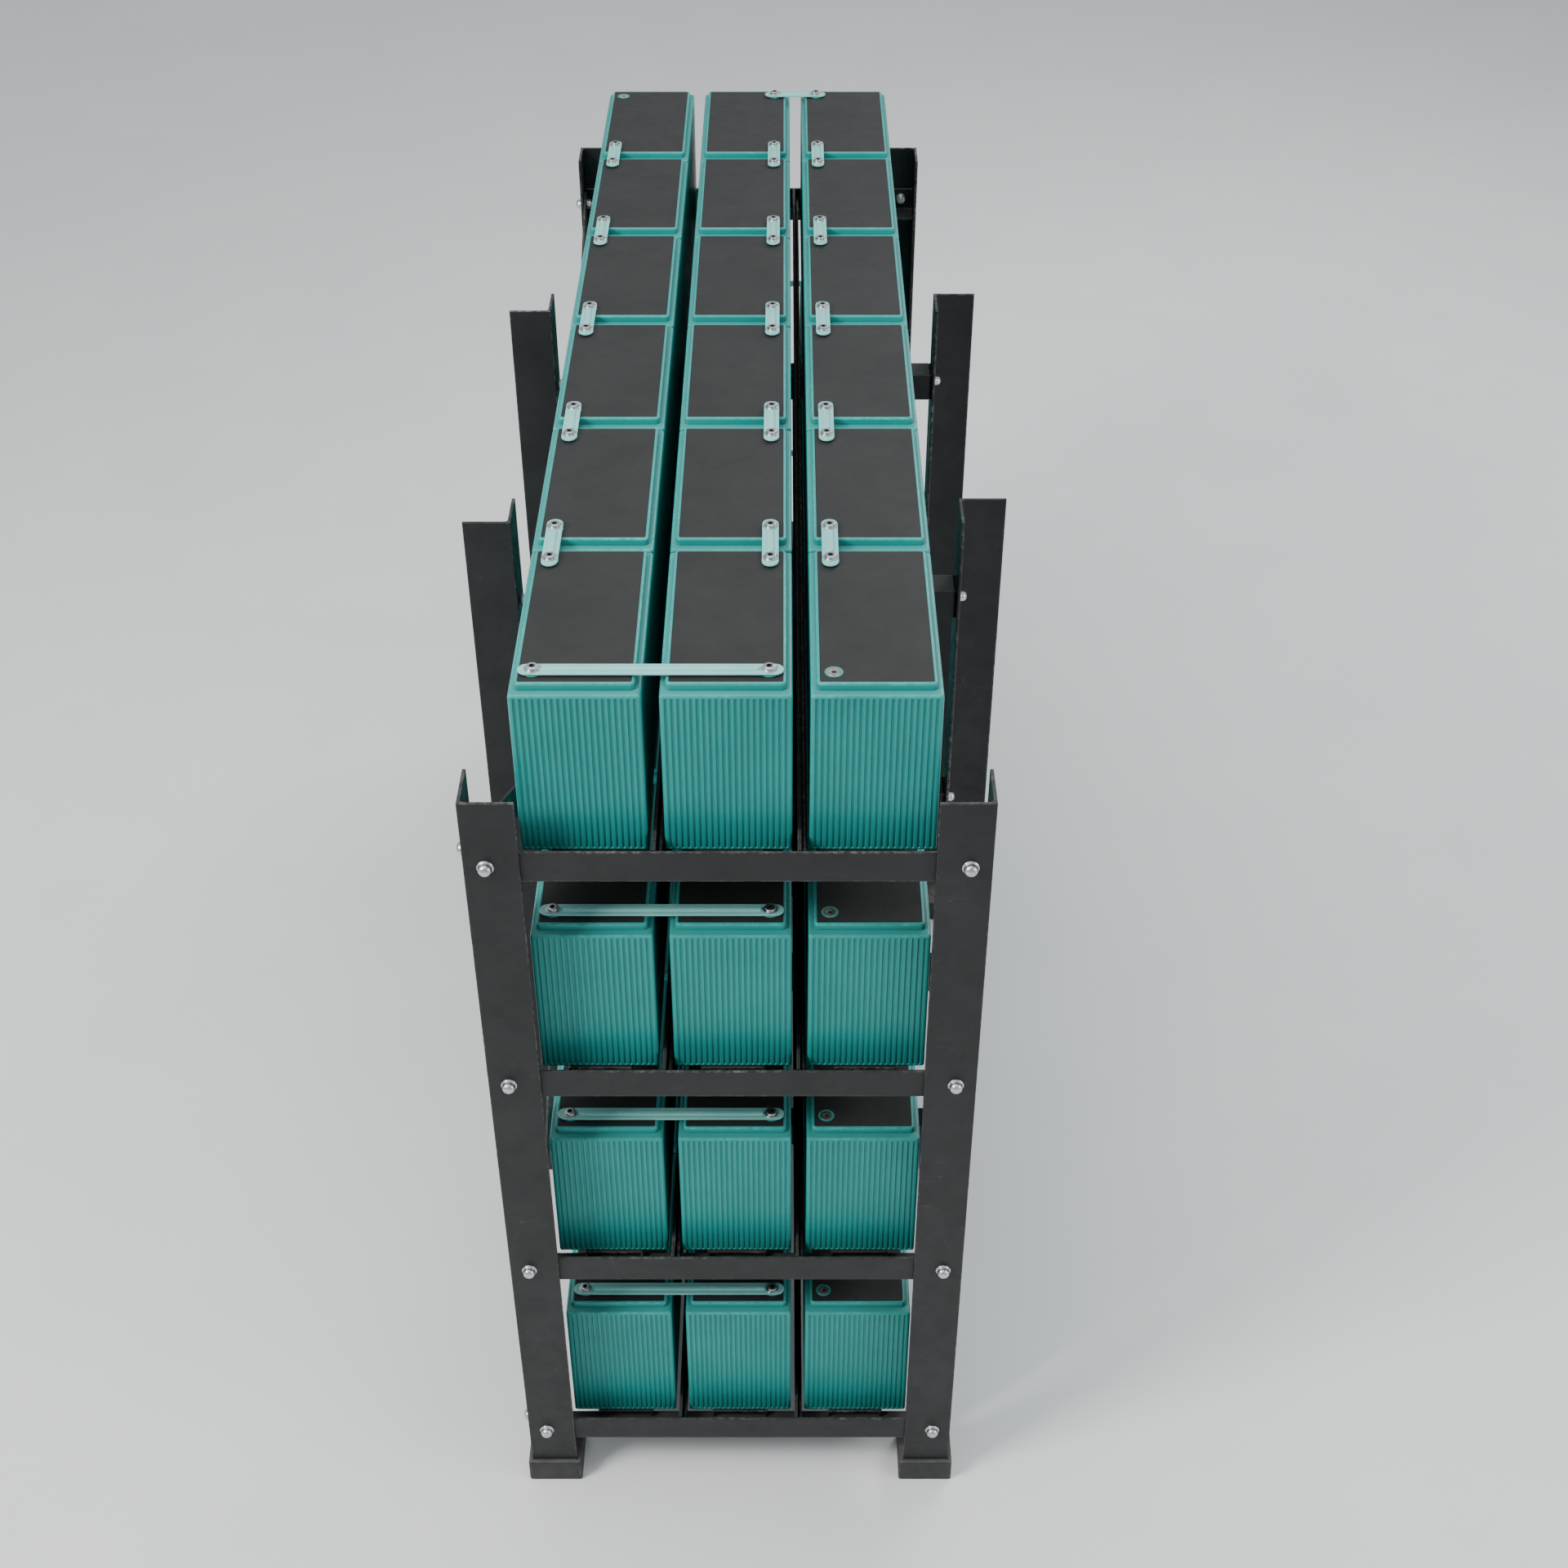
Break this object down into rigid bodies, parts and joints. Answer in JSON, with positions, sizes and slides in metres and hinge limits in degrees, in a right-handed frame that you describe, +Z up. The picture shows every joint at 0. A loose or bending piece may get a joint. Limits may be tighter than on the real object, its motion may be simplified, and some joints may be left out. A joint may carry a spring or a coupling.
{
  "type": "server rack battery",
  "caption": "Open steel rack of sealed block batteries in tiers, side-by-side columns joined in series by bolted link bars; post feet in box shoes, one long side cross-braced.",
  "frame": {"origin": "on the floor, at the middle of the footprint", "axes": "+Z up; +Y from the front end, where the long cross strap is, to the rear end; +X to the right seen from the front end"},
  "size_m": [0.86, 2.23, 1.619],
  "materials": {
    "rack_paint": "black powder coat on mild steel angle, flat and channel",
    "case_plastic": "moulded turquoise ABS case with a black lid",
    "link_metal": "plated copper bar with a pale turquoise insulating coat and zinc-plated bolts"
  },
  "bodies": {
    "rack": {"bank_t1_left": "case_plastic", "bank_t1_middle": "case_plastic", "bank_t1_right": "case_plastic", "bank_t2_left": "case_plastic", "bank_t2_middle": "case_plastic", "bank_t2_right": "case_plastic", "bank_t3_left": "case_plastic", "bank_t3_middle": "case_plastic", "bank_t3_right": "case_plastic", "battery_t4_left_1": "case_plastic", "battery_t4_left_2": "case_plastic", "battery_t4_left_3": "case_plastic", "battery_t4_left_4": "case_plastic", "battery_t4_left_5": "case_plastic", "battery_t4_middle_1": "case_plastic", "battery_t4_middle_2": "case_plastic", "battery_t4_middle_3": "case_plastic", "battery_t4_middle_4": "case_plastic", "battery_t4_middle_5": "case_plastic", "battery_t4_middle_6": "case_plastic", "battery_t4_right_2": "case_plastic", "battery_t4_right_3": "case_plastic", "battery_t4_right_4": "case_plastic", "battery_t4_right_5": "case_plastic", "battery_t4_right_6": "case_plastic", "brace_inner": "rack_paint", "brace_outer": "rack_paint", "post_left_front": "rack_paint", "post_left_rear": "rack_paint", "post_left_second": "rack_paint", "post_left_third": "rack_paint", "post_right_front": "rack_paint", "post_right_rear": "rack_paint", "post_right_second": "rack_paint", "post_right_third": "rack_paint", "rail_t1_front": "rack_paint", "rail_t1_rear": "rack_paint", "rail_t2_front": "rack_paint", "rail_t2_rear": "rack_paint", "rail_t3_front": "rack_paint", "rail_t3_rear": "rack_paint", "rail_t4_front": "rack_paint", "rail_t4_rear": "rack_paint", "strap_t1_front": "link_metal", "strap_t1_rear": "link_metal", "strap_t2_front": "link_metal", "strap_t2_rear": "link_metal", "strap_t3_front": "link_metal", "strap_t3_rear": "link_metal", "strap_t4_front": "link_metal", "strap_t4_rear": "link_metal", "tray_t1": "rack_paint", "tray_t2": "rack_paint", "tray_t3": "rack_paint", "tray_t4": "rack_paint"},
    "front_battery": {"battery_t4_right_1": "case_plastic"},
    "front_link": {"link_t4_front_end": "link_metal"},
    "rear_battery": {"battery_t4_left_6": "case_plastic"},
    "rear_link": {"link_t4_rear_end": "link_metal"}
  },
  "joints": [
    {"name": "front_battery_lift", "type": "slide", "parent": "rack", "child": "front_battery", "axis": [0, 0, 1], "range_m": [0, 0.3]},
    {"name": "front_link_swing", "type": "hinge", "parent": "front_battery", "child": "front_link", "pos_m": [0.1377, -0.7524, 1.6125], "axis": [0, 0, 1], "range_deg": [-90, 0]},
    {"name": "rear_battery_lift", "type": "slide", "parent": "rack", "child": "rear_battery", "axis": [0, 0, 1], "range_m": [0, 0.3]},
    {"name": "rear_link_swing", "type": "hinge", "parent": "rear_battery", "child": "rear_link", "pos_m": [-0.2477, 0.7263, 1.6125], "axis": [0, 0, 1], "range_deg": [0, 90]}
  ]
}
